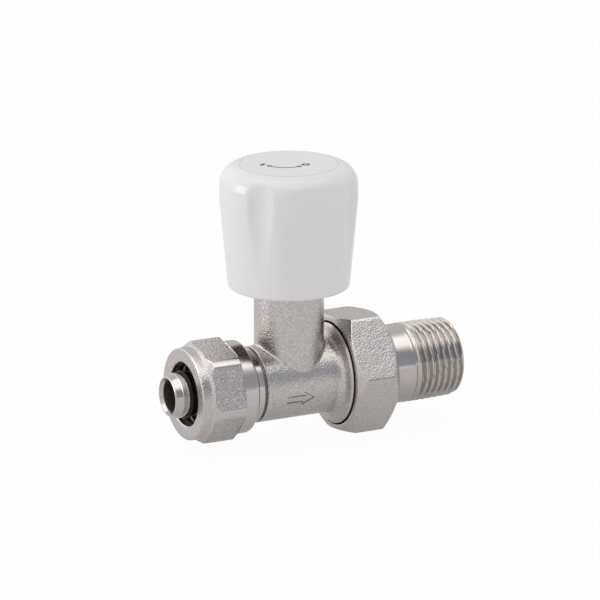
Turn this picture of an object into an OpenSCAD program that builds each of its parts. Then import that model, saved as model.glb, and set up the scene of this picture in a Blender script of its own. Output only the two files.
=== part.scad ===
/* [Pipe connection] */
// Outside diameter of the pipe that the inlet takes
pipe_d = 16; // [14:0.5:17]
// Wall of that pipe
pipe_wall = 2; // [1.5:0.1:2.4]
// Bore through the pipe insert
insert_bore_d = 8.4; // [6:0.1:9]
// Length of the insert ahead of the nut's face
insert_reach = 4.6; // [2:0.1:8]
// Length of the pipe space, from the nut's face to the pipe's stop
pipe_depth = 10.4; // [8:0.1:12]
// Across-flats size of the compression nut
nut_af = 24; // [23.4:0.1:27]
// Diameter to which the compression nut's corners are turned
nut_corner_d = 26.6; // [26.2:0.1:28]
// Length of the compression nut
nut_len = 16; // [15.5:0.1:20]
// Outside diameter of the body's thread under the compression nut
inlet_thread_d = 20.8; // [20.2:0.1:21.4]

/* [Body] */
// Distance from the stem axis to the forged body's inlet end
body_inlet_reach = 11; // [10:0.1:16]
// Outside diameter of the forged pipe-way
body_d = 19.9; // [19.6:0.1:22]
// Outside diameter of the neck
neck_d = 18.1; // [17.6:0.1:19.4]
// Height of the neck's top above the pipe axis
neck_top = 27.2; // [26.5:0.1:32]
// Height of the seat's rim above the pipe axis
seat_z = 4.2; // [4:0.1:4.8]
// Diameter of the hole in the seat
seat_d = 8.5; // [7:0.1:8.8]

/* [Union] */
// Outside diameter of the body's thread under the union nut
union_thread_d = 26.4; // [26:0.1:27.2]
// Distance from the stem axis to the union nut's open face
union_nut_x = 12.3; // [12.2:0.1:14]
// Across-flats size of the union nut
union_nut_af = 30; // [29.4:0.1:33]
// Length of the union nut
union_nut_len = 12.7; // [12.4:0.1:16]
// Thickness of the tailpiece's flange
tail_flange_t = 2.6; // [2:0.1:3]

/* [Tailpiece] */
// Distance from the stem axis to the tailpiece's end
tail_reach = 46.4; // [44:0.1:56]
// Outside diameter of the radiator thread
radiator_thread_d = 20.955; // [20.4:0.005:21.2]
// Length of the radiator thread, with its chamfer
radiator_thread_len = 14.6; // [10:0.1:16]
// Diameter of the smooth shank
shank_d = 20.6; // [19.6:0.1:21]
// Bore through the tailpiece
tail_bore_d = 15; // [12:0.1:15.6]
// Width of the two driving lugs in the bore
lug_w = 4; // [3:0.1:5]

/* [Headwork] */
// Across-flats size of the bonnet
bonnet_af = 17; // [16:0.1:19]
// Height of the bonnet's hexagon
bonnet_hex_h = 4.5; // [3:0.1:6]
// Diameter of the spindle where its seals run
spindle_d = 8.8; // [8:0.1:9]
// Side of the spindle's square
square_w = 6; // [4.5:0.1:6]
// Across-flats size of the plug's sliding shank
plug_af = 8; // [7.4:0.1:8.4]
// Rise of the plug for one turn of the handwheel
stem_pitch = 1; // [0.75:0.05:1.25]
// Turns of the handwheel from shut to open
stem_turns = 3.5; // [2:0.25:4]

/* [Handwheel] */
// Height of the skirt's lower edge above the pipe axis
wheel_bottom = 24.9; // [23:0.1:26]
// Height of the cap's face above the pipe axis
wheel_top = 57.5; // [56:0.1:62]
// Diameter of the skirt at its lower edge
wheel_d_bottom = 31.5; // [31:0.1:36]
// Largest diameter, under the rounded shoulder
wheel_d_top = 35.8; // [34.6:0.1:40]
// Radius of the rounded shoulder
wheel_shoulder_r = 4.6; // [3:0.1:5]
// Thickness of the skirt at its lower edge
wheel_wall = 1.8; // [1.4:0.1:2.2]
// Number of finger flutes
flute_count = 4; // [3:1:6]
// Radius of the cutter that makes a flute
flute_r = 7; // [5:0.1:9]
// Depth of a flute where the handwheel is widest
flute_depth = 1.4; // [0.5:0.1:2]
// Width of the flat rim between the cap and the shoulder
cap_rim = 0.5; // [0.3:0.1:2]
// Thickness of the inlaid cap
cap_t = 1.2; // [0.8:0.1:1.6]

/* [Clearances] */
// Radial clearance of turning and sliding pieces
run_gap = 0.06; // [0.04:0.01:0.08]
// Gap between faces and in seal grooves
face_gap = 0.05; // [0.03:0.01:0.08]
// Radial clearance between a nut's thread and its mate
thread_gap = 0.07; // [0.05:0.01:0.1]

/* [Hidden] */

$fn = 96;
cut = 0.5;
far = 60;

// Hexagon angles, turned as far as each nut was tightened
nut_turn = 17;
union_nut_turn = 35.5;
flute_turn = 38.25;

// Inlet side, measured from the stem axis towards -X
pipe_r = pipe_d / 2;
pipe_bore_r = pipe_r - pipe_wall;
insert_r = pipe_bore_r - 0.15;
nut_rear_x = -body_inlet_reach - 3.4;
nut_face_x = nut_rear_x - nut_len;
insert_tip_x = nut_face_x - insert_reach;
pipe_stop_x = nut_face_x + pipe_depth;
insulator_t = 1.6;
insert_flange_t = 1.4;
socket_floor_x = pipe_stop_x + insulator_t + insert_flange_t;
socket_r = pipe_r + 0.2;
inlet_thread_r = inlet_thread_d / 2;
inlet_end_x = nut_face_x + 8;
nut_mouth_r = pipe_r + 0.3;
nut_lip_t = 1.5;
nut_cone_len = 1.9;
nut_cone_rise = 1.1;
nut_bore_r = nut_mouth_r + nut_cone_rise;
insert_spigot_r = 5.5;
insert_spigot_len = 3.4;
split_ring_set = 0.6;
split_ring_tail = 1.1;
insert_end_x = socket_floor_x + insert_spigot_len;

// Seals: section radius of each ring, and the width of its groove
pipe_seal_r = 0.74;
pipe_groove_w = 1.7;
pipe_groove_r = insert_r - 1.1;
pipe_seal_x = [insert_tip_x + 4.5, insert_tip_x + 8.2];
seat_seal_r = 0.7;
seat_groove_w = 1.6;
seat_groove_r = insert_spigot_r - 1.38;
tail_seal_r = 0.8;
tail_groove_w = 1.9;
bonnet_seal_r = 0.62;
bonnet_groove_w = 1.5;
stem_seal_r = 0.62;
stem_groove_w = 1.5;

// Outlet side, measured from the stem axis towards +X
body_r = body_d / 2;
union_thread_r = union_thread_d / 2;
union_bore_r = union_thread_r + thread_gap;
union_nut_end = union_nut_x + union_nut_len;
union_lip_t = 2;
union_lip_x = union_nut_end - union_lip_t;
tail_flange_x = union_lip_x - face_gap - tail_flange_t;
outlet_end_x = tail_flange_x - face_gap;
tail_spigot_len = 4.2;
tail_spigot_x = outlet_end_x - tail_spigot_len;
tail_spigot_r = union_thread_r - 3;
tail_socket_r = tail_spigot_r + run_gap;
tail_groove_r = tail_socket_r - 2 * tail_seal_r - face_gap;
tail_flange_r = union_thread_r - 0.8;
shank_r = shank_d / 2;
radiator_thread_r = radiator_thread_d / 2;
thread_start_x = tail_reach - radiator_thread_len;
tail_bore_r = tail_bore_d / 2;
tail_chamfer = 1;

// Headwork, measured up from the pipe axis
neck_r = neck_d / 2;
seal_r = seat_d / 2 + 1.6;
chamber_r = seal_r + 0.9;
chamber_floor = seat_z - 0.8;
neck_thread_r = chamber_r + 0.75;
neck_thread_len = 7;
seal_bore_z = neck_top - neck_thread_len;
spigot_z = seal_bore_z - 3;
bonnet_spigot_r = chamber_r - run_gap;
bonnet_groove_r = bonnet_spigot_r - 2 * bonnet_seal_r - face_gap;
bonnet_hex_top = neck_top + bonnet_hex_h;
spindle_r = spindle_d / 2;
bonnet_bore_r = spindle_r + run_gap;
bonnet_boss_r = bonnet_bore_r + 1.9;
spindle_ledge_z = neck_top - 2.7;
journal_len = 9.8;
journal_top = spindle_ledge_z + face_gap + journal_len;
washer_t = 0.5;
clip_t = 1;
clip_z = journal_top + washer_t + face_gap;
clip_r = bonnet_bore_r + 0.65;
bonnet_top = clip_z + clip_t + 1.1;
stem_groove_r = spindle_r - 2 * stem_seal_r - face_gap;
stem_r = 3.4;
square_z = bonnet_top + 1.2;
square_top = square_z + 8.4;
stem_screw_r = 2;
lift = stem_pitch * stem_turns;
plug_hex_gap = 0.1;
plug_top = spigot_z + 2.9;
plug_guide_top = plug_top + lift + 0.4;
plug_thread_r = 2.7;
plug_hex_z = seat_z + 3.9;
plug_floor_h = 3.3;
plug_r = chamber_r - 0.6;
seal_t = 2.2;
plug_screw_r = 1.5;
plug_screw_head_r = seat_d / 2 - 1.6;
plug_screw_head_t = 1.2;
plug_screw_depth = 1.6;

// Handwheel
wheel_r_bottom = wheel_d_bottom / 2;
wheel_r_top = wheel_d_top / 2;
cap_r = wheel_r_top - wheel_shoulder_r - cap_rim;
flute_centre = wheel_r_top + flute_r - flute_depth;
belly_z = wheel_top - 2 * wheel_shoulder_r;
belly_rise = 0.1;
cap_floor = wheel_top - cap_t;
hub_r = 6.4;
hub_z = bonnet_top + 0.9;
socket_top = square_top + 0.3;
web_top = socket_top + 1.6;
well_r = 4.6;
core_top = cap_floor - 2;
core_taper = 0.8;
rib_count = 6;
rib_t = 1.3;
wheel_screw_r = 1.9;
wheel_screw_len = 10.6;
wheel_screw_head_r = 3.7;
wheel_screw_head_h = 2.3;
wheel_screw_round = 1.2;

brass = [0.72, 0.58, 0.3];
nickel = [0.72, 0.7, 0.68];
bright_nickel = [0.8, 0.79, 0.78];
white_plastic = [0.93, 0.93, 0.93];
rubber = [0.08, 0.08, 0.08];
steel = [0.6, 0.61, 0.63];

// Points of a circular arc, from angle a0 to a1
function arc(cx, cy, r, a0, a1, n) =
    [for (i = [0:n]) [cx + r * cos(a0 + (a1 - a0) * i / n), cy + r * sin(a0 + (a1 - a0) * i / n)]];

// The part's origin is the centre of the tailpiece's end face
module at_stem() {
    translate([-tail_reach, 0, 0]) children();
}

// Turns a profile of [x, radius] points about the pipe axis
module turned_x(points) {
    rotate([0, 90, 0]) rotate_extrude() polygon([for (p = points) [p[1], p[0]]]);
}

// A cylinder along the pipe axis between two places
module rod_x(x0, x1, r) {
    translate([x0, 0, 0]) rotate([0, 90, 0]) cylinder(h = x1 - x0, r = r);
}

// A tube along the pipe axis
module tube_x(x0, x1, outer, inner) {
    difference() {
        rod_x(x0, x1, outer);
        rod_x(x0 - cut, x1 + cut, inner);
    }
}

// A cylinder along the stem axis between two heights
module rod_z(z0, z1, r) {
    translate([0, 0, z0]) cylinder(h = z1 - z0, r = r);
}

// A sealing ring round the pipe axis
module seal_x(x, inner, section) {
    translate([x, 0, 0]) rotate([0, 90, 0])
        rotate_extrude() translate([inner + section, 0]) circle(r = section, $fn = 48);
}

// A sealing ring round the stem axis
module seal_z(z, inner, section) {
    translate([0, 0, z]) rotate_extrude() translate([inner + section, 0]) circle(r = section, $fn = 48);
}

// Hexagonal bar along the pipe axis, one flat turned to the angle above -Y
module hex_x(x0, x1, af, turn) {
    translate([x0, 0, 0]) rotate([0, 90, 0]) rotate([0, 0, -90 - turn + 30])
        cylinder(h = x1 - x0, r = af / 2 / cos(30), $fn = 6);
}

// The forged outside: pipe-way, flare to the union thread, inlet spigot
module body_outside() {
    ring_x = -body_inlet_reach - 0.9;
    ring_w = 1.5;
    ring_r = body_r + 0.05;
    relief_x = nut_rear_x - 0.7;
    flare_x = union_nut_x - 0.6;
    flare_r = 2.2;
    turned_x(concat(
        [[inlet_end_x, 0], [inlet_end_x, inlet_thread_r - 0.8], [inlet_end_x + 0.8, inlet_thread_r],
         [relief_x, inlet_thread_r], [relief_x + 0.6, inlet_thread_r - 0.9],
         [ring_x - ring_w, inlet_thread_r - 0.9], [ring_x - ring_w, ring_r], [ring_x, ring_r],
         [ring_x, ring_r - 0.7], [-body_inlet_reach, ring_r - 0.7],
         [-body_inlet_reach, body_r - 0.3], [-body_inlet_reach + 0.3, body_r]],
        arc(flare_x - flare_r - 0.4, body_r + flare_r, flare_r, -90, -22, 8),
        [[flare_x, union_thread_r - 0.25], [flare_x + 0.25, union_thread_r],
         [outlet_end_x - 0.8, union_thread_r], [outlet_end_x, union_thread_r - 0.8], [outlet_end_x, 0]]
    ));
    rod_z(0, neck_top - 0.4, neck_r);
    translate([0, 0, neck_top - 0.4]) cylinder(h = 0.4, r1 = neck_r, r2 = neck_r - 0.4);
}

// Waterway: down under the seat, up through it and out above it
module waterway() {
    in_slope = 12.4;
    out_slope = 20;
    way_r = 4;
    rod_x(inlet_end_x - cut, socket_floor_x, socket_r);
    turned_x([[inlet_end_x - cut, 0], [inlet_end_x - cut, socket_r + 1 + cut / 1.4],
              [inlet_end_x + 1.4, socket_r], [inlet_end_x + 1.4, 0]]);
    rod_x(socket_floor_x - cut, insert_end_x + 0.2, insert_spigot_r + face_gap);
    translate([insert_end_x - 1, 0, 0.3]) rotate([0, 90 + in_slope, 0])
        cylinder(h = -insert_end_x + 4.2, r = way_r);
    rod_z(-3.4, chamber_floor + cut, seat_d / 2);
    rod_z(chamber_floor, neck_top + cut, chamber_r);
    rod_z(seal_bore_z, neck_top + cut, neck_thread_r + thread_gap);
    translate([5, 0, 5.3]) rotate([0, 90 + out_slope, 0]) cylinder(h = outlet_end_x - 5, r = way_r + 0.2);
    rod_x(tail_spigot_x - 3.4, outlet_end_x + cut, tail_bore_r - 1);
    rod_x(tail_spigot_x - 0.3, outlet_end_x + cut, tail_socket_r);
}

// Forged body with its inlet spigot, neck, seat and outlet thread
module valve_body() {
    color(nickel) at_stem() {
        difference() {
            body_outside();
            waterway();
        }
        difference() {
            rod_z(chamber_floor - 0.3, seat_z, seat_d / 2 + 1.1);
            rod_z(chamber_floor - cut, seat_z + cut, seat_d / 2);
        }
    }
}

// Turned insert that goes inside the pipe
module pipe_insert() {
    tip = insert_tip_x;
    g = pipe_groove_w / 2;
    flange_x = socket_floor_x - insert_flange_t;
    seat_x = socket_floor_x + insert_spigot_len / 2;
    bore_r = insert_bore_d / 2;
    color(bright_nickel) at_stem() turned_x(concat(
        [[tip + 1.1, bore_r], [tip + 0.05, insert_r - 1.1]],
        arc(tip + 0.45, insert_r - 1.05, 0.45, 180, 90, 5),
        [[tip + 1.9, insert_r - 0.2], [tip + 2, insert_r]],
        [for (x = pipe_seal_x) each [[x - g, insert_r], [x - g, pipe_groove_r],
                                     [x + g, pipe_groove_r], [x + g, insert_r]]],
        [[flange_x, insert_r], [flange_x, pipe_r + 0.1], [socket_floor_x, pipe_r + 0.1],
         [socket_floor_x, insert_spigot_r],
         [seat_x - seat_groove_w / 2, insert_spigot_r], [seat_x - seat_groove_w / 2, seat_groove_r],
         [seat_x + seat_groove_w / 2, seat_groove_r], [seat_x + seat_groove_w / 2, insert_spigot_r],
         [insert_end_x - 0.4, insert_spigot_r], [insert_end_x, insert_spigot_r - 0.4],
         [insert_end_x, bore_r - 0.4], [insert_end_x - 1, bore_r - 0.4], [insert_end_x - 2, bore_r]]
    ));
}

module insert_oring_front() {
    color(rubber) at_stem() seal_x(pipe_seal_x[0], pipe_groove_r + face_gap / 2, pipe_seal_r);
}

module insert_oring_rear() {
    color(rubber) at_stem() seal_x(pipe_seal_x[1], pipe_groove_r + face_gap / 2, pipe_seal_r);
}

module insert_seat_oring() {
    color(rubber) at_stem()
        seal_x(socket_floor_x + insert_spigot_len / 2, seat_groove_r + face_gap / 2, seat_seal_r);
}

// Black ring that keeps the pipe's aluminium layer off the brass
module insulating_ring() {
    color(rubber) at_stem()
        tube_x(pipe_stop_x, pipe_stop_x + insulator_t - face_gap / 2, pipe_r, insert_r + run_gap);
}

// Slit ring that the nut's cone closes on the pipe
module split_ring() {
    inner = pipe_r + 0.1;
    outer = nut_bore_r - 0.1;
    slit_w = 1.2;
    front_x = nut_face_x + nut_lip_t + split_ring_set;
    rear_x = inlet_end_x - 0.2;
    cone = nut_cone_rise / nut_cone_len;
    front_r = nut_mouth_r + split_ring_set * cone - face_gap;
    grip_w = 0.8;
    color(bright_nickel) at_stem() difference() {
        turned_x([[front_x, inner], [front_x, front_r], [front_x + (outer - front_r) / cone, outer],
                  [rear_x, outer], [rear_x + split_ring_tail, outer - 0.8], [rear_x + split_ring_tail, inner]]);
        for (i = [0:2])
            turned_x([[front_x + 1 + 2 * i, inner - cut], [front_x + 1 + 2 * i, inner],
                      [front_x + 1 + 2 * i + grip_w / 2, inner + 0.3],
                      [front_x + 1 + 2 * i + grip_w, inner], [front_x + 1 + 2 * i + grip_w, inner - cut]]);
        translate([front_x - cut, -slit_w / 2, 0]) cube([far, slit_w, far]);
    }
}

// Hexagonal nut with turned corners, a round collar at each end and a cone inside
module compression_nut() {
    neck_face_r = nut_af / 2 - 0.1;
    corner_r = nut_corner_d / 2;
    collar_r = nut_af / 2;
    thread_x = inlet_end_x - 1.7;
    bore_r = inlet_thread_r + thread_gap;
    face = nut_face_x;
    rear = nut_rear_x;
    color(nickel) at_stem() difference() {
        union() {
            turned_x(concat(
                [[face, 0]],
                arc(face + 0.4, neck_face_r - 0.4, 0.4, 180, 90, 4),
                [[face + 2.1, neck_face_r], [face + 2.4, neck_face_r + 0.05], [face + 2.4, 0]]
            ));
            intersection() {
                hex_x(face + 2, rear - 2, nut_af, nut_turn);
                turned_x([[face + 2, 0], [face + 2, neck_face_r], [face + 4.4, corner_r],
                          [rear - 4.4, corner_r], [rear - 2.45, collar_r], [rear - 2.2, 0]]);
            }
            turned_x(concat(
                [[rear - 4, 0], [rear - 4, collar_r]],
                arc(rear - 1.1, collar_r - 1.1, 1.1, 90, 0, 5),
                [[rear, 0]]
            ));
        }
        turned_x([[face - cut, 0], [face - cut, nut_mouth_r + 0.3 + cut], [face + 0.3, nut_mouth_r],
                  [face + nut_lip_t, nut_mouth_r], [face + nut_lip_t + nut_cone_len, nut_bore_r],
                  [thread_x, nut_bore_r], [thread_x, bore_r], [rear - 0.4, bore_r],
                  [rear, bore_r + 0.4], [rear + cut, bore_r + 0.4], [rear + cut, 0]]);
    }
}

// Hexagonal nut that swivels on the tailpiece's flange
module union_nut() {
    x0 = union_nut_x;
    x1 = union_nut_end;
    corner_r = union_nut_af / 2 / cos(30);
    mouth_r = union_bore_r;
    color(nickel) at_stem() difference() {
        intersection() {
            hex_x(x0, x1, union_nut_af, union_nut_turn);
            turned_x([[x0, 0], [x0, union_nut_af / 2 - 0.6], [x0 + 2, corner_r + 0.3],
                      [x1 - 2.8, corner_r + 0.3], [x1, union_nut_af / 2 - 1.2], [x1, 0]]);
        }
        turned_x([[x0 - cut, 0], [x0 - cut, mouth_r + 0.4 + cut], [x0 + 0.4, mouth_r],
                  [union_lip_x, mouth_r], [union_lip_x, shank_r + 0.45], [x1 + cut, shank_r + 0.45],
                  [x1 + cut, 0]]);
    }
}

// Tail that screws into the radiator
module tailpiece() {
    seal_x0 = tail_spigot_x + 1;
    lug_x = thread_start_x - 2;
    lug_len = 8;
    lug_reach = tail_bore_r - 1.6;
    lug_end = lug_x + lug_len;
    inner_r = tail_bore_r - 0.2;
    color(bright_nickel) at_stem() {
        turned_x([[tail_spigot_x, inner_r], [tail_spigot_x, tail_spigot_r - 0.5],
                  [tail_spigot_x + 0.5, tail_spigot_r], [seal_x0, tail_spigot_r],
                  [seal_x0, tail_groove_r], [seal_x0 + tail_groove_w, tail_groove_r],
                  [seal_x0 + tail_groove_w, tail_spigot_r], [tail_flange_x, tail_spigot_r],
                  [tail_flange_x, tail_flange_r], [tail_flange_x + tail_flange_t, tail_flange_r],
                  [tail_flange_x + tail_flange_t, shank_r], [thread_start_x - 0.3, shank_r],
                  [thread_start_x, radiator_thread_r], [tail_reach - tail_chamfer, radiator_thread_r],
                  [tail_reach, radiator_thread_r - tail_chamfer], [tail_reach, tail_bore_r],
                  [lug_end, tail_bore_r], [lug_end, inner_r]]);
        intersection() {
            tube_x(lug_x, lug_x + lug_len, tail_bore_r + 0.3, lug_reach);
            translate([lug_x - cut, -lug_w / 2, -far / 2]) cube([lug_len + 2 * cut, lug_w, far]);
        }
    }
}

module tailpiece_oring() {
    color(rubber) at_stem()
        seal_x(tail_spigot_x + 1 + tail_groove_w / 2, tail_groove_r + face_gap / 2, tail_seal_r);
}

// Bonnet that screws into the neck, guides the plug and holds the spindle
module bonnet() {
    groove_z = spigot_z + 0.8;
    color(brass) at_stem() difference() {
        union() {
            rotate_extrude() polygon([
                [0, spigot_z], [bonnet_spigot_r - 0.4, spigot_z], [bonnet_spigot_r, spigot_z + 0.4],
                [bonnet_spigot_r, groove_z], [bonnet_groove_r, groove_z],
                [bonnet_groove_r, groove_z + bonnet_groove_w], [bonnet_spigot_r, groove_z + bonnet_groove_w],
                [bonnet_spigot_r, seal_bore_z + face_gap], [neck_thread_r - 0.4, seal_bore_z + face_gap],
                [neck_thread_r, seal_bore_z + 0.5], [neck_thread_r, neck_top], [0, neck_top]]);
            intersection() {
                translate([0, 0, neck_top]) cylinder(h = bonnet_hex_h, r = bonnet_af / 2 / cos(30), $fn = 6);
                translate([0, 0, neck_top]) rotate_extrude() polygon([
                    [0, 0], [bonnet_af, 0], [bonnet_af, bonnet_hex_h - 3.6],
                    [bonnet_af / 2 - 0.3, bonnet_hex_h], [0, bonnet_hex_h]]);
            }
            rod_z(bonnet_hex_top - cut, bonnet_top, bonnet_boss_r);
        }
        rod_z(spindle_ledge_z, bonnet_top + cut, bonnet_bore_r);
        rod_z(clip_z, clip_z + clip_t + face_gap, clip_r);
        rod_z(plug_guide_top - cut, spindle_ledge_z + cut, plug_thread_r + 0.3);
        translate([0, 0, spigot_z - cut])
            cylinder(h = plug_guide_top - spigot_z + cut, r = (plug_af + plug_hex_gap) / 2 / cos(30), $fn = 6);
    }
}

module bonnet_oring() {
    color(rubber) at_stem()
        seal_z(spigot_z + 0.8 + bonnet_groove_w / 2, bonnet_groove_r + face_gap / 2, bonnet_seal_r);
}

// Stem seal grooves, as heights above the ledge that carries the journal
function stem_seal_z(i) = spindle_ledge_z + 3 + 3.6 * i;

// Spindle: drive thread, sealed journal, stem and square
module spindle() {
    z0 = plug_hex_z + plug_floor_h + lift + 0.2;
    journal_z = spindle_ledge_z + face_gap;
    g = stem_groove_w / 2;
    color(brass) at_stem() difference() {
        union() {
            rotate_extrude() polygon(concat(
                [[0, z0], [plug_thread_r - 0.5, z0], [plug_thread_r, z0 + 0.5],
                 [plug_thread_r, journal_z], [spindle_r, journal_z]],
                [for (i = [0:1]) each [[spindle_r, stem_seal_z(i) - g], [stem_groove_r, stem_seal_z(i) - g],
                                       [stem_groove_r, stem_seal_z(i) + g], [spindle_r, stem_seal_z(i) + g]]],
                [[spindle_r, journal_top], [stem_r, journal_top], [stem_r, square_z], [0, square_z]]
            ));
            translate([-square_w / 2, -square_w / 2, square_z - cut])
                cube([square_w, square_w, square_top - square_z + cut]);
        }
        rod_z(square_top - 10, square_top + cut, stem_screw_r);
    }
}

module spindle_oring_lower() {
    color(rubber) at_stem() seal_z(stem_seal_z(0), stem_groove_r + face_gap / 2, stem_seal_r);
}

module spindle_oring_upper() {
    color(rubber) at_stem() seal_z(stem_seal_z(1), stem_groove_r + face_gap / 2, stem_seal_r);
}

// Low-friction washer between the journal and the retaining ring
module thrust_washer() {
    color("ivory") at_stem() difference() {
        rod_z(journal_top, journal_top + washer_t, spindle_r);
        rod_z(journal_top - cut, journal_top + washer_t + cut, stem_r + run_gap);
    }
}

// Open spring ring in the bonnet's groove, which holds the spindle down
module retaining_ring() {
    ring_gap = 5;
    hole_r = 0.5;
    color(steel) at_stem() difference() {
        rod_z(clip_z, clip_z + clip_t, clip_r - 0.1);
        rod_z(clip_z - cut, clip_z + clip_t + cut, stem_r + 0.5);
        translate([0, -ring_gap / 2, clip_z - cut]) cube([far, ring_gap, clip_t + 2 * cut]);
        for (side = [-1, 1])
            translate([3.4, side * 3.3, clip_z - cut]) cylinder(h = clip_t + 2 * cut, r = hole_r, $fn = 32);
    }
}

// Plug with a sliding hexagon, which the spindle's thread lifts
module plug() {
    seal_z0 = seat_z + face_gap;
    rim_z = seal_z0 + seal_t - 1.4;
    color(brass) at_stem() difference() {
        union() {
            rotate_extrude() polygon([
                [0, rim_z], [plug_r - 0.3, rim_z], [plug_r, rim_z + 0.3], [plug_r, plug_hex_z - 0.5],
                [plug_r - 0.5, plug_hex_z], [0, plug_hex_z]]);
            translate([0, 0, plug_hex_z - cut])
                cylinder(h = plug_top - plug_hex_z + cut, r = plug_af / 2 / cos(30), $fn = 6);
        }
        rod_z(rim_z - cut, seal_z0 + seal_t, seal_r + run_gap);
        rod_z(plug_hex_z + plug_floor_h, plug_top + cut, plug_thread_r + run_gap);
        rod_z(rim_z - cut, plug_hex_z + plug_screw_depth + 0.4, plug_screw_r + run_gap);
    }
}

// Soft washer that closes on the seat
module plug_seal() {
    z0 = seat_z + face_gap;
    color(rubber) at_stem() difference() {
        rod_z(z0, z0 + seal_t - face_gap / 2, seal_r);
        rod_z(z0 - cut, z0 + seal_t + cut, plug_screw_r + run_gap);
    }
}

// Screw that holds the soft washer from below
module plug_screw() {
    head_top = seat_z + face_gap / 2;
    color(steel) at_stem() difference() {
        union() {
            rod_z(head_top - plug_screw_head_t, head_top, plug_screw_head_r);
            rod_z(head_top - cut, plug_hex_z + plug_screw_depth, plug_screw_r);
        }
        translate([-far / 2, -0.4, head_top - plug_screw_head_t - cut]) cube([far, 0.8, cut + 0.5]);
    }
}

// Outer form of the handwheel, with its rounded shoulder and rim
module wheel_outside() {
    rim = 0.7;
    top_r = cap_r + cap_rim + 0.1;
    shoulder = wheel_shoulder_r;
    rotate_extrude() polygon(concat(
        [[0, wheel_bottom], [wheel_r_bottom - rim, wheel_bottom]],
        arc(wheel_r_bottom - rim, wheel_bottom + rim, rim, -90, -4, 5),
        [[wheel_r_top, belly_z]],
        arc(wheel_r_top - belly_rise - shoulder, wheel_top - shoulder, shoulder, 3, 84, 14),
        [[top_r, wheel_top], [0, wheel_top]]
    ));
}

// Direction of a flute, seen from above
function flute_angle(i) = flute_turn + 360 / flute_count * i;

// Moulded handwheel: fluted skirt, hub with a square socket, ribs and a recess for the cap
module handwheel() {
    core_r = wheel_r_bottom - wheel_wall;
    color(white_plastic) at_stem() {
        difference() {
            wheel_outside();
            translate([0, 0, wheel_bottom - cut])
                cylinder(h = core_top - wheel_bottom + cut, r1 = core_r, r2 = core_r - core_taper);
            for (i = [0:flute_count - 1])
                translate([flute_centre * cos(flute_angle(i)), flute_centre * sin(flute_angle(i)), wheel_bottom])
                    cylinder(h = wheel_top - wheel_bottom + cut, r = flute_r);
            rod_z(cap_floor, wheel_top + cut, cap_r);
            rod_z(core_top - cut, cap_floor + cut, well_r);
        }
        difference() {
            union() {
                rod_z(hub_z, core_top + 0.2, hub_r);
                for (i = [0:rib_count - 1])
                    rotate([0, 0, 360 / rib_count * i]) translate([0, -rib_t / 2, hub_z])
                        cube([core_r + 0.6, rib_t, core_top + 0.2 - hub_z]);
            }
            translate([0, 0, (hub_z + socket_top - cut) / 2])
                cube([square_w + 0.1, square_w + 0.1, socket_top - hub_z + cut], center = true);
            rod_z(web_top, core_top + cut, well_r);
            rod_z(hub_z, web_top + cut, stem_screw_r + 0.2);
        }
    }
}

// Pan-head screw that draws the handwheel onto the spindle
module handwheel_screw() {
    head_h = wheel_screw_head_h;
    round_r = wheel_screw_round;
    slot_w = 1;
    slot_len = 4.4;
    color(steel) at_stem() difference() {
        union() {
            rod_z(web_top - wheel_screw_len, web_top + 0.1, wheel_screw_r);
            translate([0, 0, web_top]) rotate_extrude() polygon(concat(
                [[0, 0], [wheel_screw_head_r, 0]],
                arc(wheel_screw_head_r - round_r, head_h - round_r, round_r, 0, 90, 5),
                [[0, head_h]]
            ));
        }
        for (a = [0, 90])
            rotate([0, 0, a]) translate([-slot_len / 2, -slot_w / 2, web_top + 1]) cube([slot_len, slot_w, head_h]);
    }
}

// Inlaid disc that covers the screw
module cap_disc() {
    edge = 0.2;
    color([0.88, 0.88, 0.9]) at_stem() rotate_extrude() polygon([
        [0, cap_floor], [cap_r - face_gap, cap_floor], [cap_r - face_gap, wheel_top - edge],
        [cap_r - face_gap - edge, wheel_top], [0, wheel_top]]);
}

valve_body();
pipe_insert();
insert_oring_front();
insert_oring_rear();
insert_seat_oring();
insulating_ring();
split_ring();
compression_nut();
union_nut();
tailpiece();
tailpiece_oring();
bonnet();
bonnet_oring();
spindle();
spindle_oring_lower();
spindle_oring_upper();
thrust_washer();
retaining_ring();
plug();
plug_seal();
plug_screw();
handwheel();
handwheel_screw();
cap_disc();
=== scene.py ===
import bpy
import math
import numpy as np
from mathutils import Matrix, Vector


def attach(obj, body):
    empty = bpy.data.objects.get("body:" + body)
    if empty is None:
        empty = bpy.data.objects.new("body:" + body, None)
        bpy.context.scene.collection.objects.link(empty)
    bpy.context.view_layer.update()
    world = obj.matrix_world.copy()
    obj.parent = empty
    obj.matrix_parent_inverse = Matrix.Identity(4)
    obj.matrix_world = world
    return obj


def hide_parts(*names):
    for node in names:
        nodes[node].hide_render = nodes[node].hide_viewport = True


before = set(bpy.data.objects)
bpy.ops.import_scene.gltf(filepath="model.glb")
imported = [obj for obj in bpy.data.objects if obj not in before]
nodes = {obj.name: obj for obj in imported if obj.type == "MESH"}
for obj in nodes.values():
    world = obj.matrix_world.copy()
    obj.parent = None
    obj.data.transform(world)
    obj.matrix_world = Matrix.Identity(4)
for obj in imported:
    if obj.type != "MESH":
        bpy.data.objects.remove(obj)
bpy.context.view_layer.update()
scene = bpy.context.scene

# Lengths are in millimetres from the crossing of the stem and the pipe, unless a comment says otherwise
MM = 0.001
# The stem's place along the frame's X, whose origin is the tailpiece's end
STEM_X = -46.4
# The floor lies just under the lowest point of the solids
FLOOR_Z = -15.78
# Outer radius of the forged pipe-way
PIPE_WAY_R = 9.95
# Reflected colour of the plating
NICKEL = (0.575, 0.542, 0.524)


def at(x, y, z):
    """A place in the frame's metres."""
    return Vector(((x + STEM_X) * MM, y * MM, z * MM))


# Materials

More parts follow.
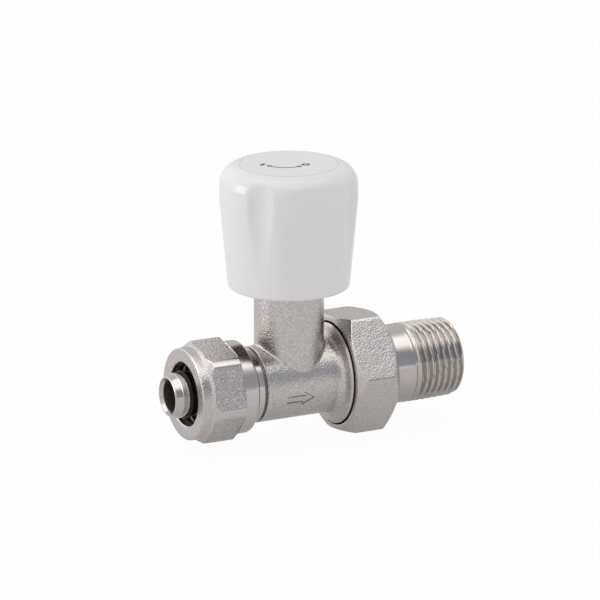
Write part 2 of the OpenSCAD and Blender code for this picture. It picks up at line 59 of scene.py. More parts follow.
class Graph:
    """Adds shader nodes to one material or world."""

    def __init__(self, tree):
        self.tree = tree

    def put(self, socket, value):
        """Links a socket to another one, or sets its value."""
        if isinstance(value, bpy.types.NodeSocket):
            self.tree.links.new(value, socket)
        else:
            socket.default_value = value

    def add(self, kind, settings=None, **inputs):
        """A node. Its inputs are given by name, with _ for a space, or by number as i0, i1 and so on."""
        node = self.tree.nodes.new("ShaderNode" + kind)
        for key, value in (settings or {}).items():
            setattr(node, key, value)
        for key, value in inputs.items():
            which = int(key[1:]) if key[1:].isdigit() else key.replace("_", " ")
            self.put(node.inputs[which], value)
        return node

    def math(self, op, a, b=0.0):
        return self.add("Math", {"operation": op}, i0=a, i1=b).outputs[0]

    def millimetres(self):
        """Place on the object, in the frame's axes and in millimetres."""
        coords = self.add("TexCoord").outputs["Object"]
        return self.add("VectorMath", {"operation": "SCALE"}, i0=coords, Scale=1 / MM).outputs[0]

    def noise(self, where, scale, detail=2.0, rough=0.5):
        node = self.add("TexNoise", Vector=where, Scale=scale, Detail=detail, Roughness=rough)
        return node.outputs["Fac"]

    def ramp(self, fac, low, high, a=0.0, b=1.0):
        """A smooth change from a, where fac is low, to b, where it is high."""
        node = self.add("MapRange", {"clamp": True, "interpolation_type": "SMOOTHSTEP"})
        for i, value in enumerate((fac, low, high, a, b)):
            self.put(node.inputs[i], value)
        return node.outputs[0]

    def mix(self, fac, a, b):
        """Colour a where fac is 0 and b where it is 1."""
        fac_input, first_input, second_input, colour_output = 0, 6, 7, 2
        node = self.add("Mix", {"data_type": "RGBA"})
        for i, value in ((fac_input, fac), (first_input, a), (second_input, b)):
            self.put(node.inputs[i], value)
        return node.outputs[colour_output]

    def blend(self, fac, a, b):
        """Value a where fac is 0 and b where it is 1."""
        return self.math("ADD", a, self.math("MULTIPLY", fac, self.math("SUBTRACT", b, a)))

    def bump(self, height, distance, normal=None):
        node = self.add("Bump", Height=height, Distance=distance, Strength=1.0)
        if normal is not None:
            self.put(node.inputs["Normal"], normal)
        return node.outputs[0]

    def surface(self, shader):
        out = self.add("OutputMaterial")
        self.put(out.inputs[0], shader)


def new_material(name):
    mat = bpy.data.materials.new(name)
    mat.use_nodes = True
    mat.node_tree.nodes.clear()
    return mat, Graph(mat.node_tree)


def scaled(colour, share):
    """A colour made darker or lighter, with its alpha."""
    return (*[min(1, c * share) for c in colour], 1)


# A look gives the colour, the roughness and the height in millimetres at a place

def forged_look(grain=2.5, depth=0.11, rough_from=0.16, contrast=0.13):
    """Plating over a blasted forging: a crisp grain over slow waves."""
    wave_scale, wave_depth, rough_spread, middle = 0.35, 0.08, 0.2, 0.97
    speck_scale, rough_scale = grain * 0.9, grain * 0.8

    def look(g, place):
        fine = g.noise(place, grain, 1.5, 0.55)
        slow = g.noise(place, wave_scale)
        speck = g.ramp(g.noise(place, speck_scale, 1.0), 0.3, 0.7)
        colour = g.mix(speck, scaled(NICKEL, middle - contrast), scaled(NICKEL, middle + contrast))
        rough = g.math("ADD", g.math("MULTIPLY", g.noise(place, rough_scale), rough_spread), rough_from)
        height = g.math("ADD", g.math("MULTIPLY", fine, depth), g.math("MULTIPLY", slow, wave_depth))
        return colour, rough, height
    return look


def turned_look(axis=0, tint=NICKEL, roughness=0.15, depth=0.004):
    """Bright plating over lathe marks that run round one axis."""
    round_scale, along_scale, mark_scale, patch_scale = 0.12, 6.0, 1.6, 0.5
    darkest, lightest, rough_spread, rough_drop = 0.93, 1.05, 0.12, 0.05

    def look(g, place):
        stretch = [round_scale] * 3
        stretch[axis] = along_scale
        stretched = g.add("VectorMath", {"operation": "MULTIPLY"}, i0=place, i1=stretch).outputs[0]
        lines = g.noise(stretched, mark_scale, 3.0, 0.6)
        colour = g.mix(g.noise(place, patch_scale), scaled(tint, darkest), scaled(tint, lightest))
        rough = g.math("ADD", g.math("MULTIPLY", lines, rough_spread), roughness - rough_drop)
        return colour, rough, g.math("MULTIPLY", lines, depth)
    return look


def painted_shade_look(g, place):
    """Painted shade at the foot of a narrow groove: a dark brown colour in place of the shadow there."""
    return (0.105, 0.082, 0.07, 1), 0.6, 0.0


def mixed_look(g, fac, one, two):
    """One look where fac is 0 and the other where it is 1."""
    return g.mix(fac, one[0], two[0]), g.blend(fac, one[1], two[1]), g.blend(fac, one[2], two[2])


def between(g, value, low, high):
    """1 where the value lies between two limits, with soft ends."""
    soft = 0.08
    rise = g.ramp(value, low - soft, low + soft)
    return g.math("MULTIPLY", rise, g.ramp(value, high - soft, high + soft, 1.0, 0.0))


def body_look(g, place):
    """Forged, with a turned inlet ring and rim, and painted shade in the grooves beside the two nuts."""
    turned_to, rim_from, edge = -10.95, 11.62, 0.05
    inlet_groove, inlet_shade, union_groove = (-11.95, -11.0), 0.62, (12.05, 12.6)
    along = g.math("SUBTRACT", g.add("SeparateXYZ", i0=place).outputs[0], STEM_X)
    inlet = g.ramp(along, turned_to - edge, turned_to + edge, 1.0, 0.0)
    rim = g.ramp(along, rim_from - edge, rim_from + edge)
    # Painted shade: the grooves beside the two nuts are darkened in place of the shadow in them, less so
    # by the inlet
    painted_shade_by_inlet = g.math("MULTIPLY", between(g, along, *inlet_groove), inlet_shade)
    groove = g.math("ADD", painted_shade_by_inlet, between(g, along, *union_groove))
    bare = mixed_look(g, g.math("ADD", inlet, rim), forged_look()(g, place), turned_look()(g, place))
    return mixed_look(g, groove, bare, painted_shade_look(g, place))


def insert_look(g, place):
    """Turned outside and rim, and a rough bore darkened with painted shade."""
    bore_to, outside_from = 4.22, 4.32
    parts = g.add("SeparateXYZ", i0=place).outputs
    squares = [g.math("MULTIPLY", part, part) for part in parts[1:]]
    radius = g.math("POWER", g.math("ADD", *squares), 0.5)
    outside = turned_look(tint=(0.52, 0.49, 0.47), roughness=0.14, depth=0.008)(g, place)
    # The bore's dark tint is painted shade, in place of the shadow inside the tube
    bore = turned_look(tint=(0.16, 0.136, 0.124), roughness=0.6)(g, place)
    return mixed_look(g, g.ramp(radius, bore_to, outside_from), bore, outside)


def metal(name, look):
    mat, g = new_material(name)
    colour, rough, height = look(g, g.millimetres())
    normal = g.bump(height, MM)
    bsdf = g.add("BsdfPrincipled", Base_Color=colour, Metallic=1.0, Roughness=rough, Normal=normal)
    g.surface(bsdf.outputs[0])
    return mat


def plastic(name, colour, roughness):
    """Injection moulding with a faint waviness."""
    slow_scale, slow_depth, fine_scale, fine_depth = 0.12, 0.05, 5.0, 0.004
    darkest, lightest, rough_spread, rough_drop = 0.985, 1.01, 0.1, 0.05
    mat, g = new_material(name)
    place = g.millimetres()
    slow = g.noise(place, slow_scale)
    fine = g.noise(place, fine_scale)
    tone = g.mix(slow, scaled(colour, darkest), scaled(colour, lightest))
    rough = g.math("ADD", g.math("MULTIPLY", fine, rough_spread), roughness - rough_drop)
    normal = g.bump(fine, fine_depth * MM, g.bump(slow, slow_depth * MM))
    bsdf = g.add("BsdfPrincipled", Base_Color=tone, Roughness=rough, Normal=normal)
    g.surface(bsdf.outputs[0])
    return mat


def rubber(name):
    """Dull and black, with a fine speckle."""
    scale, depth, rough_from, rough_spread, sheen = 4.0, 0.01, 0.32, 0.2, 0.22
    mat, g = new_material(name)
    fine = g.noise(g.millimetres(), scale, 3.0)
    colour = g.mix(fine, (0.006, 0.005, 0.006, 1), (0.018, 0.015, 0.017, 1))
    rough = g.math("ADD", g.math("MULTIPLY", fine, rough_spread), rough_from)
    bsdf = g.add("BsdfPrincipled", Base_Color=colour, Roughness=rough, Specular_IOR_Level=sheen,
                 Normal=g.bump(fine, depth * MM))
    g.surface(bsdf.outputs[0])
    return mat


forged = metal("forged_nickel", forged_look())
forged_fine = metal("forged_nickel_fine",
                    forged_look(grain=2.6, depth=0.1, rough_from=0.14, contrast=0.09))
forged_coarse = metal("forged_nickel_coarse", forged_look(grain=2.4, depth=0.1, contrast=0.08))
forged_bold = metal("forged_nickel_bold", forged_look(grain=2.3, depth=0.24))
forged_body = metal("forged_nickel_body", body_look)
# A material of painted shade, for the grooves beside the nuts and the mouth inside the union nut
painted_groove_shade = metal("painted_groove_shade", painted_shade_look)
# Nickel darkened as painted shade, for the flanks of the raised flow arrow
painted_flank_shade = metal("nickel_painted_flank_shade", turned_look(tint=(0.15, 0.14, 0.13), roughness=0.5))
turned = metal("turned_nickel", turned_look(roughness=0.2))
turned_tail = metal("turned_nickel_tail",
                    turned_look(tint=(0.525, 0.493, 0.472), roughness=0.14, depth=0.01))
insert = metal("turned_nickel_insert", insert_look)
brass = metal("bare_brass", turned_look(axis=2, tint=(0.70, 0.54, 0.29), roughness=0.3))
# Nickel darkened as painted shade, for the split ring that sits in the shadow inside the compression nut
shade_darkened_nickel = metal("nickel_darkened_as_shade", turned_look(tint=(0.24, 0.225, 0.21), roughness=0.4))
steel = metal("zinc_steel", turned_look(axis=2, tint=(0.50, 0.51, 0.52), roughness=0.35))
white = plastic("white_moulding", (0.88, 0.87, 0.88), roughness=0.16)
cap_white = plastic("cap_moulding", (0.855, 0.85, 0.87), roughness=0.34)
washer = plastic("washer_moulding", (0.75, 0.71, 0.6), roughness=0.5)
ink = plastic("grey_ink", (0.08, 0.085, 0.09), roughness=0.5)
black = rubber("black_rubber")

# The nodes that aren't named here are O-rings, of black rubber
finish = {
    "valve_body": forged_body, "pipe_insert": insert, "insulating_ring": black, "split_ring": shade_darkened_nickel,
    "compression_nut": forged, "union_nut": forged_coarse, "tailpiece": turned_tail, "bonnet": brass,
    "spindle": brass, "thrust_washer": washer, "retaining_ring": steel, "plug": brass,
    "plug_seal": black, "plug_screw": steel, "handwheel": white, "handwheel_screw": steel,
    "cap_disc": cap_white,
}


def dress(name, material):
    data = nodes[name].data
    data.materials.clear()
    data.materials.append(material)


for name in nodes:
    dress(name, finish.get(name, black))


# Shapes

def soft_min(a, b, k):
    """The smaller of two values, blended over a width k where they are close."""
    h = np.clip(0.5 + 0.5 * (b - a) / k, 0, 1)
    return b + (a - b) * h - k * h * (1 - h)


def corner_arc(before, corner, after, r, steps):
    """Points of the arc that rounds a corner between its two neighbours."""
    corner = np.array(corner, float)
    ways = [np.array(neighbour) - corner for neighbour in (before, after)]
    to_before, to_after = (way / np.linalg.norm(way) for way in ways)
    half = math.acos(np.clip(to_before @ to_after, -1, 1)) / 2
    bisector = (to_before + to_after) / np.linalg.norm(to_before + to_after)
    centre = corner + bisector * r / math.sin(half)
    ends = [corner + way * r / math.tan(half) for way in (to_before, to_after)]
    first, last = (math.atan2(*(end - centre)[::-1]) for end in ends)
    turn = (last - first + math.pi) % math.tau - math.pi
    angles = first + turn * np.linspace(0, 1, steps + 1)
    return [centre + r * np.array((math.cos(a), math.sin(a))) for a in angles]


def rounded(corners, step, arc_steps=6, fine=None):
    """A closed outline from corners (u, v, radius): corners become arcs and long edges get more points.
    fine (lowest u, highest u, lowest v, step) gives a stretch that gets a step of its own."""
    path = []
    for i, (u, v, r) in enumerate(corners):
        if r > 0:
            before, after = corners[i - 1], corners[(i + 1) % len(corners)]
            path += corner_arc(before[:2], (u, v), after[:2], r, arc_steps)
        else:
            path.append(np.array((u, v), float))

    def step_between(a, b):
        if fine is None:
            return step
        low_u, high_u, low_v, fine_step = fine
        inside = low_u <= min(a[0], b[0]) and max(a[0], b[0]) <= high_u and min(a[1], b[1]) > low_v
        return fine_step if inside else step

    dense = []
    for a, b in zip(path, path[1:] + path[:1]):
        pieces = max(1, math.ceil(np.linalg.norm(b - a) / step_between(a, b)))
        dense += [a + (b - a) * t / pieces for t in range(pieces)]
    return np.array(dense)


def lathe_grid(path, columns, axis, shape):
    """Points[row, column] of an outline (along, radius) swept round an axis.
    shape(along, radius, angle) gives each point's final place."""
    angle = np.linspace(0, math.tau, columns, endpoint=False)[None, :]
    along = np.repeat(path[:, :1], columns, 1)
    radius = np.repeat(path[:, 1:], columns, 1)
    along, radius = shape(along, radius, angle)
    p, q = radius * np.cos(angle), radius * np.sin(angle)
    return np.stack((along, p, q) if axis == "x" else (p, q, along), -1)


def mesh_piece(name, points, faces, materials, face_material=None, sharp=35):
    """A smooth mesh that faces outwards, with edges sharper than an angle in degrees kept sharp."""
    points = (np.asarray(points, float).reshape(-1, 3) + (STEM_X, 0, 0)) * MM
    faces = np.asarray(faces)
    a, b, c, d = (points[faces[:, k]] for k in range(4))
    middle = points.mean(0)
    volume = np.einsum("ij,ij->", np.cross(c - a, d - b), (a + b + c + d) / 4 - middle)
    if volume < 0:
        faces = faces[:, ::-1]
    data = bpy.data.meshes.new(name)
    data.from_pydata(points.tolist(), [], faces.tolist())
    for material in materials:
        data.materials.append(material)
    if face_material is not None:
        data.polygons.foreach_set("material_index", np.asarray(face_material, np.int32).ravel())
    data.polygons.foreach_set("use_smooth", np.ones(len(data.polygons), bool))
    data.set_sharp_from_angle(angle=math.radians(sharp))
    data.update()
    obj = bpy.data.objects.new(name, data)
    scene.collection.objects.link(obj)
    return obj


def ring_faces(rows, cols, wrap_rows=True):
    """Faces between neighbouring points of a grid whose columns run round in a ring."""
    i, j = np.meshgrid(np.arange(rows if wrap_rows else rows - 1), np.arange(cols), indexing="ij")
    i2, j2 = (i + 1) % rows, (j + 1) % cols
    corners = (i * cols + j, i * cols + j2, i2 * cols + j2, i2 * cols + j)
    return np.stack(corners, -1).reshape(-1, 4)


def face_values(grid):
    """Value at each face of a wrapped grid, from its four corners."""
    down = np.roll(grid, -1, 0)
    return (grid + np.roll(grid, -1, 1) + down + np.roll(down, -1, 1)) / 4


def hexagon(angle, across_flats, flat_angle):
    """Distance from the middle of a hexagon to its edge, in each direction."""
    sixth = math.pi / 3
    turn = (angle - flat_angle + sixth / 2) % sixth - sixth / 2
    return across_flats / 2 / np.cos(turn)


def compression_nut():
    """A front cylinder, a cone up to the corners, flats with a shallow step at each end, a collar."""
    face, cone_from, cone_to, shoulder_x, rear = -30.4, -27.95, -26.25, -18.6, -14.4
    face_r, cone_r, corner_r, collar_r = 11.95, 12.03, 13.33, 12.08
    mouth_to, seat_from, bore_from = face + 1.5, face + 3.4, face + 6.3
    mouth_r, seat_r, bore_r, rear_bore_r = 8.3, 9.4, 10.47, 10.85
    edge = 0.3
    corners = [(face, mouth_r + edge, 0.1), (face, face_r, 0.4), (cone_from, cone_r, 0.35),
               (cone_to, corner_r, 0.4), (shoulder_x, corner_r, 0.12),
               (shoulder_x + 0.12, collar_r, 0.08), (rear, collar_r, 0.6), (rear, rear_bore_r, 0),
               (rear - 0.4, bore_r, 0), (bore_from, bore_r, 0), (bore_from, seat_r, 0),
               (seat_from, seat_r, 0), (mouth_to, mouth_r, 0.1), (face + edge, mouth_r, 0.1)]
    path = rounded(corners, 0.3)
    across_flats, flat_angle, flats_from, step_slope = 24.0, math.radians(163), -27.0, 4.0
    outside_from, soft = 11.3, 0.12

    def shape(along, radius, angle):
        past_end = np.maximum(flats_from - along, along - shoulder_x)
        flats = hexagon(angle, across_flats, flat_angle) + np.maximum(0, past_end) * step_slope
        return along, np.where(radius > outside_from, soft_min(radius, flats, soft), radius)

    columns, cut_depth = 360, 0.06
    strip_from, strip_above_r = -26.0, 12.58
    grid = lathe_grid(path, columns, "x", shape)
    radius = np.hypot(grid[..., 1], grid[..., 2])
    cut = face_values(path[:, 1:] - radius) > cut_depth
    along, y, z = (face_values(grid[..., k]) for k in range(3))
    corner_strip = (along > strip_from) & (np.hypot(y, z) > strip_above_r)
    index = np.where(cut, 1, np.where(corner_strip | (along > shoulder_x), 2, 0))
    piece = mesh_piece("compression_nut_detail", grid, ring_faces(len(path), columns),
                       [forged_fine, forged_bold, turned], index)
    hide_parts("compression_nut")
    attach(piece, "compression_nut")


def union_nut():
    """Six flats with cut corners and chamfered ends, a bore that widens at the mouth, and a lip."""
    face, lip_x, rear = 12.3, 23.0, 25.0
    face_r, front_r, blank_r, rear_r, end_r = 14.6, 17.2, 17.6, 14.7, 14.1
    mouth_r, mouth_depth, bore_r, lip_r = 13.68, 0.6, 13.27, 10.85
    corners = [(face, mouth_r, 0.1), (face, face_r, 0.4), (face + 2.0, front_r, 0.7),
               (face + 2.6, blank_r, 0.5), (rear - 3.0, blank_r, 0.8), (rear - 0.5, rear_r, 0.5),
               (rear, end_r, 0.3), (rear, lip_r, 0.2), (lip_x, lip_r, 0), (lip_x, bore_r, 0),
               (face + mouth_depth, bore_r, 0)]
    path = rounded(corners, 0.35)
    across_flats, flat_angle, corner_r = 30.0, math.radians(144.5), 17.25
    outside_from, soft = 13.9, 0.3

    def shape(along, radius, angle):
        flats = soft_min(hexagon(angle, across_flats, flat_angle), corner_r, soft)
        return along, np.where(radius > outside_from, soft_min(radius, flats, soft), radius)

    columns, cut_depth = 360, 0.12
    grid = lathe_grid(path, columns, "x", shape)
    radius = np.hypot(grid[..., 1], grid[..., 2])
    cut = face_values(path[:, 1:] - radius) > cut_depth
    # The mouth and bore inside the nut get painted shade, dark in place of the shadow in the gap in
    # front of the nut
    inside = (face_values(radius) < mouth_r) & (face_values(grid[..., 0]) < lip_x)
    index = np.where(inside, 2, np.where(cut, 1, 0))
    piece = mesh_piece("union_nut_detail", grid, ring_faces(len(path), columns),
                       [forged_fine, forged_coarse, painted_groove_shade], index)
    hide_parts("union_nut")
    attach(piece, "union_nut")


def tailpiece():
    """A nose with its O-ring groove, a flange, a shank, a tapered pipe thread and lugs in the bore."""
    nose_x, groove_from, groove_to = 16.1, 17.1, 19.0
    flange_from, flange_to, thread_from, end = 20.35, 22.95, 31.6, 46.4
    nose_r, groove_r, flange_r, shank_r = 10.2, 8.59, 12.4, 10.35
    bore_r, wide_bore_r, mouth_r, wide_bore_from = 7.3, 7.5, 7.6, 37.8
    chamfer, outside_from = 0.5, 9.2
    corners = [(nose_x, bore_r, 0), (nose_x, nose_r - chamfer, 0), (nose_x + chamfer, nose_r, 0),
               (groove_from, nose_r, 0), (groove_from, groove_r, 0), (groove_to, groove_r, 0),
               (groove_to, nose_r, 0), (flange_from, nose_r, 0), (flange_from, flange_r, 0.2),
               (flange_to, flange_r, 0.2), (flange_to, shank_r, 0.2), (thread_from, shank_r, 0),
               (end, shank_r, 0.35), (end, mouth_r, 0.2), (wide_bore_from, wide_bore_r, 0),
               (wide_bore_from, bore_r, 0)]
    path = rounded(corners, 0.6, fine=(thread_from, end, outside_from, 0.15))
    pitch, depth, run_out_turns, blank_gap = 1.8143, 1.1, 1.6, 0.1
    crest_share, flank_share, curve_share = 0.14, 0.72, 0.35
    crest_r, gauge_x, taper = 10.42, 38.2, 1 / 32
    end_crest_r, end_slope = 9.55, 0.9
    lug_from, lug_r, lug_half, lug_middle_r, bore_to = 29.8, 5.9, 2.0, 6.7, 8.0

    def shape(along, radius, angle):
        turns = (along - thread_from) / pitch
        wave = np.abs((turns - angle / math.tau) % 1.0 - 0.5) * 2
        flank = np.clip((wave - crest_share) / flank_share, 0, 1)
        curve = flank * flank * (3 - 2 * flank)
        groove = curve * curve_share + flank * (1 - curve_share)
        fade = np.clip(turns / run_out_turns, 0, 1)
        crest = np.minimum(crest_r, crest_r - (along - gauge_x) * taper)
        ridge = np.minimum(crest - depth * fade * groove, end_crest_r + (end - along) * end_slope)
        outside = (radius > outside_from) & (along > thread_from) & (along <= end)
        radius = np.where(outside, np.minimum(radius + blank_gap, ridge), radius)
        by_lug = (along > lug_from) & (along < wide_bore_from) & (radius < bore_to)
        lug = by_lug & (np.abs(np.cos(angle) * lug_middle_r) < lug_half)
        return along, np.where(lug, lug_r, radius)

    columns = 300
    grid = lathe_grid(path, columns, "x", shape)
    piece = mesh_piece("tailpiece_detail", grid, ring_faces(len(path), columns), [turned_tail], sharp=50)
    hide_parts("tailpiece")
    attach(piece, "tail")


def rib(angle, inner_r, outer_r, half_width, low, high):
    """Points and faces of one upright rib inside the handwheel."""
    out = np.array((math.cos(angle), math.sin(angle), 0))
    side = np.array((-math.sin(angle), math.cos(angle), 0))
    plan = [(inner_r, -half_width), (outer_r, -half_width), (outer_r, half_width), (inner_r, half_width)]
    points = [out * u + side * v + (0, 0, z) for z in (low, high) for u, v in plan]
    faces = [(3, 2, 1, 0), (4, 5, 6, 7), (0, 1, 5, 4), (1, 2, 6, 5), (2, 3, 7, 6), (3, 0, 4, 7)]
    return np.array(points), np.array(faces)


def handwheel():
    """A fluted skirt, a recess for the cap disc, a screw well, a hub with a square socket, and ribs."""
    bottom, belly_z, top = 25.1, 48.6, 57.45
    hub_z, socket_z, well_z, roof_z, recess_z = 37.9, 46.9, 48.5, 54.3, 56.3
    bottom_r, belly_r, top_r = 15.68, 17.85, 17.65
    skirt_inner_r, roof_inner_r, recess_r, recess_floor_r = 13.98, 13.2, 12.98, 12.9
    socket_half, screw_r, well_r, hub_r = 3.05, 2.2, 4.6, 6.4
    outline = [(bottom, skirt_inner_r, 0.3), (bottom, bottom_r, 0.8), (belly_z, belly_r, 9.0),
               (top, top_r, 5.1), (top, recess_r, 0.15), (recess_z, recess_floor_r, 0.05),
               (recess_z, well_r, 0), (well_z, well_r, 0), (well_z, screw_r, 0), (socket_z, screw_r, 0),
               (socket_z, socket_half, 0), (hub_z, socket_half, 0), (hub_z, hub_r, 0.3),
               (roof_z, hub_r, 0.4), (roof_z, roof_inner_r, 0.6)]
    path = rounded(outline, 1.0, 14)
    flutes, flute_r, flute_centre, flute_angle = 4, 7.0, 23.5, math.radians(38.25)
    skirt_from, shoulder_from, shoulder_z = 14.2, 13.0, 56.5
    soft, tolerance = 0.55, 0.01

    def shape(along, radius, angle):
        share = math.tau / flutes
        turn = (angle - flute_angle + share / 2) % share - share / 2
        reach = flute_r ** 2 - (flute_centre * np.sin(turn)) ** 2
        floor_r = flute_centre * np.cos(turn) - np.sqrt(np.maximum(reach, 0))
        flute = np.where(reach > 0, floor_r, flute_centre)
        outside = (radius > skirt_from) | ((radius > shoulder_from) & (along > shoulder_z))
        radius = np.where(outside, soft_min(radius, flute, soft), radius)
        square = socket_half / np.maximum(np.abs(np.cos(angle)), np.abs(np.sin(angle)))
        return along, np.where(np.abs(radius - socket_half) < tolerance, square, radius)

    columns, ribs = 360, 6
    rib_from, rib_to, rib_half, rib_top = 6.0, 13.9, 0.55, 54.6
    grid = lathe_grid(path, columns, "z", shape)
    faces = [ring_faces(len(path), columns)]
    points = [grid.reshape(-1, 3)]
    count = len(points[0])
    for k in range(ribs):
        corners, sides = rib(math.tau / ribs * k, rib_from, rib_to, rib_half, hub_z, rib_top)
        points.append(corners)
        faces.append(count + sides)
        count += len(corners)
    piece = mesh_piece("handwheel_detail", np.concatenate(points), np.concatenate(faces), [white])
    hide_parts("handwheel")
    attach(piece, "handwheel")


def neck_fillet():
    """Rolling-ball blend between the neck and the pipe-way, laid over their seam."""
    neck_r, ball = 9.05, 0.7
    lift, sink = 0.012, 0.25
    touch = PIPE_WAY_R / (PIPE_WAY_R + ball)
    sunk_body, sunk_neck = 1 - sink / PIPE_WAY_R, 1 - sink / neck_r
    columns, steps = 240, 10
    rows = [[] for _ in range(steps + 3)]
    for turn in np.linspace(0, math.tau, columns, endpoint=False):
        x, y = (neck_r + ball) * math.cos(turn), (neck_r + ball) * math.sin(turn)
        centre = np.array((x, y, math.sqrt((PIPE_WAY_R + ball) ** 2 - y * y)))
        on_neck = np.array((neck_r * math.cos(turn), neck_r * math.sin(turn), centre[2]))
        on_body = centre * (1, touch, touch)
        to_neck, to_body = on_neck - centre, on_body - centre
        angle = math.acos(np.clip(to_neck @ to_body / ball ** 2, -1, 1))
        for i in range(steps + 1):
            part = i / steps
            way = math.sin((1 - part) * angle) * to_neck + math.sin(part * angle) * to_body
            rows[i].append(centre + way / math.sin(angle) * (ball - lift) / ball)
        rows[steps + 1].append(on_body * (1, sunk_body, sunk_body))
        rows[steps + 2].append(on_neck * (sunk_neck, sunk_neck, 1))
    piece = mesh_piece("neck_fillet", np.array(rows), ring_faces(steps + 3, columns), [forged], sharp=60)
    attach(piece, "valve")


def strip(name, path, half_widths, section, place, materials, closed=False):
    """A thin raised strip along a path (u, v). section lists (share of the half width, height) at four
    points, and place puts (u, v, height) in space. The first material is for the top, the last for the
    flanks."""
    narrowest_mitre = 0.4
    path = np.array(path, float)
    n = len(path)
    ahead = np.roll(path, -1, 0) - path
    behind = path - np.roll(path, 1, 0)
    if not closed:
        ahead[-1], behind[0] = behind[-1], ahead[0]
    ahead, behind = (v / np.linalg.norm(v, axis=1)[:, None] for v in (ahead, behind))
    normal = np.stack((-(ahead + behind)[:, 1], (ahead + behind)[:, 0]), -1)
    normal /= np.linalg.norm(normal, axis=1)[:, None]
    across = np.stack((-ahead[:, 1], ahead[:, 0]), -1)
    mitre = np.maximum(narrowest_mitre, np.einsum("ij,ij->i", normal, across))
    wide = (np.array(half_widths) * np.ones(n) / mitre)[:, None]
    rows = [[place(*(p + way * w * share), h) for p, way, w in zip(path, normal, wide)]
            for share, h in section]
    points = np.array(rows).transpose(1, 0, 2)
    k = len(section)
    faces = ring_faces(n, k, closed)
    if not closed:
        ends = [[0, 1, 2, 3], [k * (n - 1) + i for i in (3, 2, 1, 0)]]
        faces = np.concatenate((faces, ends))
    top = np.arange(len(faces)) % k == 1
    return mesh_piece(name, points, faces, materials, np.where(top, 0, len(materials) - 1), sharp=30)


def flow_arrow():
    """Three raised lines on the front of the pipe-way, with painted shade darkening their flanks."""
    middle = math.radians(-15.8)

    def place(u, v, h):
        a = middle + v / PIPE_WAY_R
        r = PIPE_WAY_R + h
        return (u, -r * math.cos(a), r * math.sin(a))

    tail, neck, tip, shaft, head = -5.2, -0.4, 2.3, 0.85, 1.8
    barb_slant, shaft_slant = 0.5, 0.3
    sink, rise, top_share = -0.1, 0.22, 0.35
    section = [(-1, sink), (-top_share, rise), (top_share, rise), (1, sink)]
    lines = {"flow_arrow_head": ([(neck, head), (tip, 0), (neck - barb_slant, -head)], 0.19),
             "flow_arrow_shaft_low": ([(tail, -shaft), (neck - shaft_slant, -shaft)], 0.15),
             "flow_arrow_shaft_high": ([(tail, shaft), (neck + shaft_slant, shaft)], 0.11)}
    for name, (path, half_width) in lines.items():
        # The flanks get the darkened nickel as painted shade, and the tops stay forged
        piece = strip(name, path, half_width, section, place, [forged, painted_flank_shade])
        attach(piece, "valve")


def cap_print():
    """A thin arc with a point at each end, a stroke and a ring, printed on the cap disc."""
    top, sink, rise = 57.5, -0.03, 0.012
    section = [(-1, sink), (-1, rise), (1, rise), (1, sink)]

    def place(u, v, h):
        return (u, v, top + h)

    def on_circle(centre, r, degrees):
        return [centre + r * np.array((math.cos(a), math.sin(a))) for a in np.radians(degrees)]

    arc_middle, arc_r, arc_from, arc_to, count = np.array((-0.2, 1.6)), 5.65, -174, -67, 60
    arc = on_circle(arc_middle, arc_r, np.linspace(arc_from, arc_to, count))
    point_share, point_half, line_half, least_half = 0.15, 0.9, 0.28, 0.01
    share = np.linspace(0, 1, count)
    near_end = np.minimum(share, 1 - share)
    widths = np.where(near_end < point_share, near_end / point_share * point_half, line_half)
    widths += least_half
    stroke, stroke_half = [(-7.3, 1.35), (-5.6, 2.65)], 0.5
    ring_middle, ring_r, ring_half = np.array((3.35, -3.0)), 0.78, 0.34
    ring = on_circle(ring_middle, ring_r, np.arange(0, 360, 15))
    marks = [strip("print_arc", arc, widths, section, place, [ink]),
             strip("print_stroke", stroke, stroke_half, section, place, [ink]),
             strip("print_ring", ring, ring_half, section, place, [ink], closed=True)]
    for piece in marks:
        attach(piece, "handwheel")


# Studio

def floor():
    """A pale floor. The camera sees it almost white with a faint shadow, and metal sees it grey."""
    metres, white_share, shown_share = 3.0, 0.96, 0.28
    bpy.ops.mesh.primitive_plane_add(size=metres, location=(0, 0, FLOOR_Z * MM))
    plane = bpy.context.object
    plane.name = "floor"
    mat, g = new_material("floor_white")
    diffuse = g.add("BsdfDiffuse", Color=(0.86, 0.855, 0.845, 1)).outputs[0]
    glow = g.add("Emission", Color=(1, 1, 1, 1), Strength=1.0).outputs[0]
    path = g.add("LightPath").outputs
    seen = g.math("MAXIMUM", path["Is Camera Ray"], path["Is Transmission Ray"])
    seen_glow = g.math("MULTIPLY", seen, white_share)
    mirrored_glow = g.math("MULTIPLY", path["Is Glossy Ray"], shown_share)
    fac = g.math("MAXIMUM", seen_glow, mirrored_glow)
    g.surface(g.add("MixShader", i0=fac, i1=diffuse, i2=glow).outputs[0])
    plane.data.materials.append(mat)


def lamp(name, place, target, size, power):
    light = bpy.data.lights.new(name, "AREA")
    light.shape = "RECTANGLE"
    light.size, light.size_y = size
    light.energy = power
    obj = bpy.data.objects.new(name, light)
    obj.location = place
    obj.rotation_euler = (Vector(target) - Vector(place)).to_track_quat("-Z", "Y").to_euler()
    scene.collection.objects.link(obj)


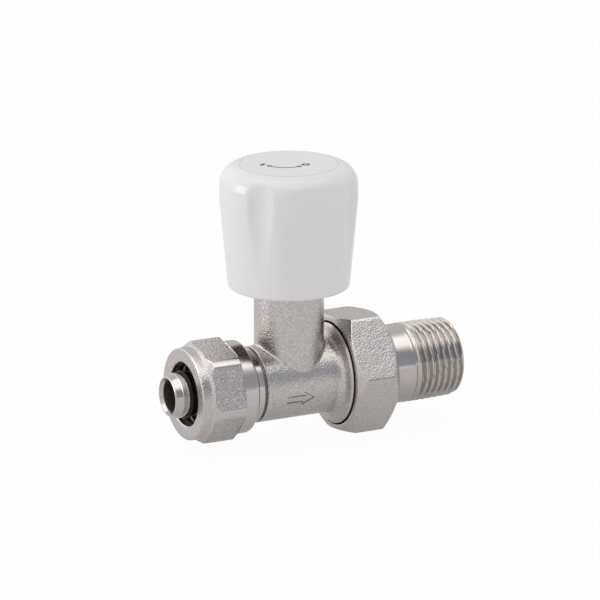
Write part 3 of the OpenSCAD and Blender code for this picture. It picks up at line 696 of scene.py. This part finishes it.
def studio():
    """A pale room. It lights the object plainly, and metal shows its white background with a grey flag
    at the right front, a softbox overhead and a glow on the right and at the left back. A panel lights
    the object from the left."""
    floor()
    world = bpy.data.worlds.new("studio")
    scene.world = world
    world.use_nodes = True
    world.node_tree.nodes.clear()
    g = Graph(world.node_tree)
    path = g.add("LightPath").outputs
    seen = g.math("MAXIMUM", path["Is Camera Ray"], path["Is Transmission Ray"])
    where = g.add("TexCoord").outputs["Generated"]
    height = g.add("SeparateXYZ", i0=where).outputs[2]

    def towards(x, y):
        node = g.add("VectorMath", {"operation": "DOT_PRODUCT"}, i0=where, i1=(x, y, 0.0))
        return node.outputs["Value"]

    # Limits on height are sines of an elevation, and the others are cosines of the angle to a direction
    right, front = towards(0.889, -0.458), towards(-0.46, -0.89)
    right_front, left_back = towards(0.47, -0.88), towards(-0.46, 0.89)

    side_light, top_light, right_light = 0.43, 1.06, 0.08
    from_above = g.ramp(height, 0.2, 1.0, side_light, top_light)
    light = g.math("ADD", from_above, g.ramp(right, 0.3, 0.9, 0.0, right_light))

    side, back_low, back_high = 1.0, 0.62, 0.80
    back_glow, right_glow, softbox, flag_share = 0.5, 0.2, 0.88, 0.58
    back = g.ramp(height, 0.1, 0.45, back_low, back_high)
    shown = g.blend(g.ramp(front, -0.6, -0.3), back, side)
    shown = g.math("ADD", shown, g.ramp(left_back, 0.6, 0.95, 0.0, back_glow))
    shown = g.math("ADD", shown, g.ramp(right, 0.6, 0.95, 0.0, right_glow))
    flag = g.math("MULTIPLY", g.ramp(right_front, 0.3, 0.7), g.ramp(height, 0.02, 0.12))
    flag = g.math("MULTIPLY", flag, g.ramp(height, 0.62, 0.78, 1.0, 0.0))
    shown = g.math("MULTIPLY", shown, g.math("SUBTRACT", 1.0, g.math("MULTIPLY", flag, flag_share)))
    above = g.math("MULTIPLY", g.ramp(height, 0.73, 0.84, 0.0, softbox), g.ramp(front, -0.42, -0.25))
    shown = g.math("ADD", shown, above)

    glossy = path["Is Glossy Ray"]
    white_tint, flag_tint = (1.0, 0.995, 0.99, 1), (0.93, 0.97, 1.08, 1)
    tint = g.mix(g.math("MULTIPLY", flag, glossy), white_tint, flag_tint)
    room = g.add("Background", Color=tint, Strength=g.blend(glossy, light, shown)).outputs[0]
    backdrop = g.add("Background", Color=(1, 1, 1, 1), Strength=1.0).outputs[0]
    out = g.add("OutputWorld")
    g.put(out.inputs[0], g.add("MixShader", i0=seen, i1=room, i2=backdrop).outputs[0])

    # The panel's place and size are in metres, and its power is in watts
    panel_place, panel_size, panel_power = (-0.98, 0.41, 0.25), (0.4, 0.55), 2.45
    lamp("panel_left", panel_place, at(0, 0, 15), panel_size, panel_power)


def camera():
    """The photograph's view: from the front, a little above and to the left."""
    azimuth, elevation = math.radians(-27.25), math.radians(16.0)
    metres_away, focal_px, image_px, sensor_mm = 1.5, 5803.0, 600, 36.0
    shift_right, shift_up = 2.87 * MM, 20.33 * MM
    right = Vector((math.cos(azimuth), math.sin(azimuth), 0))
    back = Vector((math.sin(azimuth) * math.cos(elevation), -math.cos(azimuth) * math.cos(elevation),
                   math.sin(elevation)))
    up = back.cross(right)
    data = bpy.data.cameras.new("camera")
    data.sensor_width = sensor_mm
    data.lens = focal_px / image_px * sensor_mm
    data.clip_start, data.clip_end = 0.05, 20
    cam = bpy.data.objects.new("camera", data)
    cam.matrix_world = Matrix((right, up, back)).transposed().to_4x4()
    cam.location = at(0, 0, 0) + metres_away * back + shift_right * right + shift_up * up
    scene.collection.objects.link(cam)
    scene.camera = cam


compression_nut()
union_nut()
tailpiece()
handwheel()
neck_fillet()
flow_arrow()
cap_print()
studio()
camera()
scene.view_settings.view_transform = "Standard"
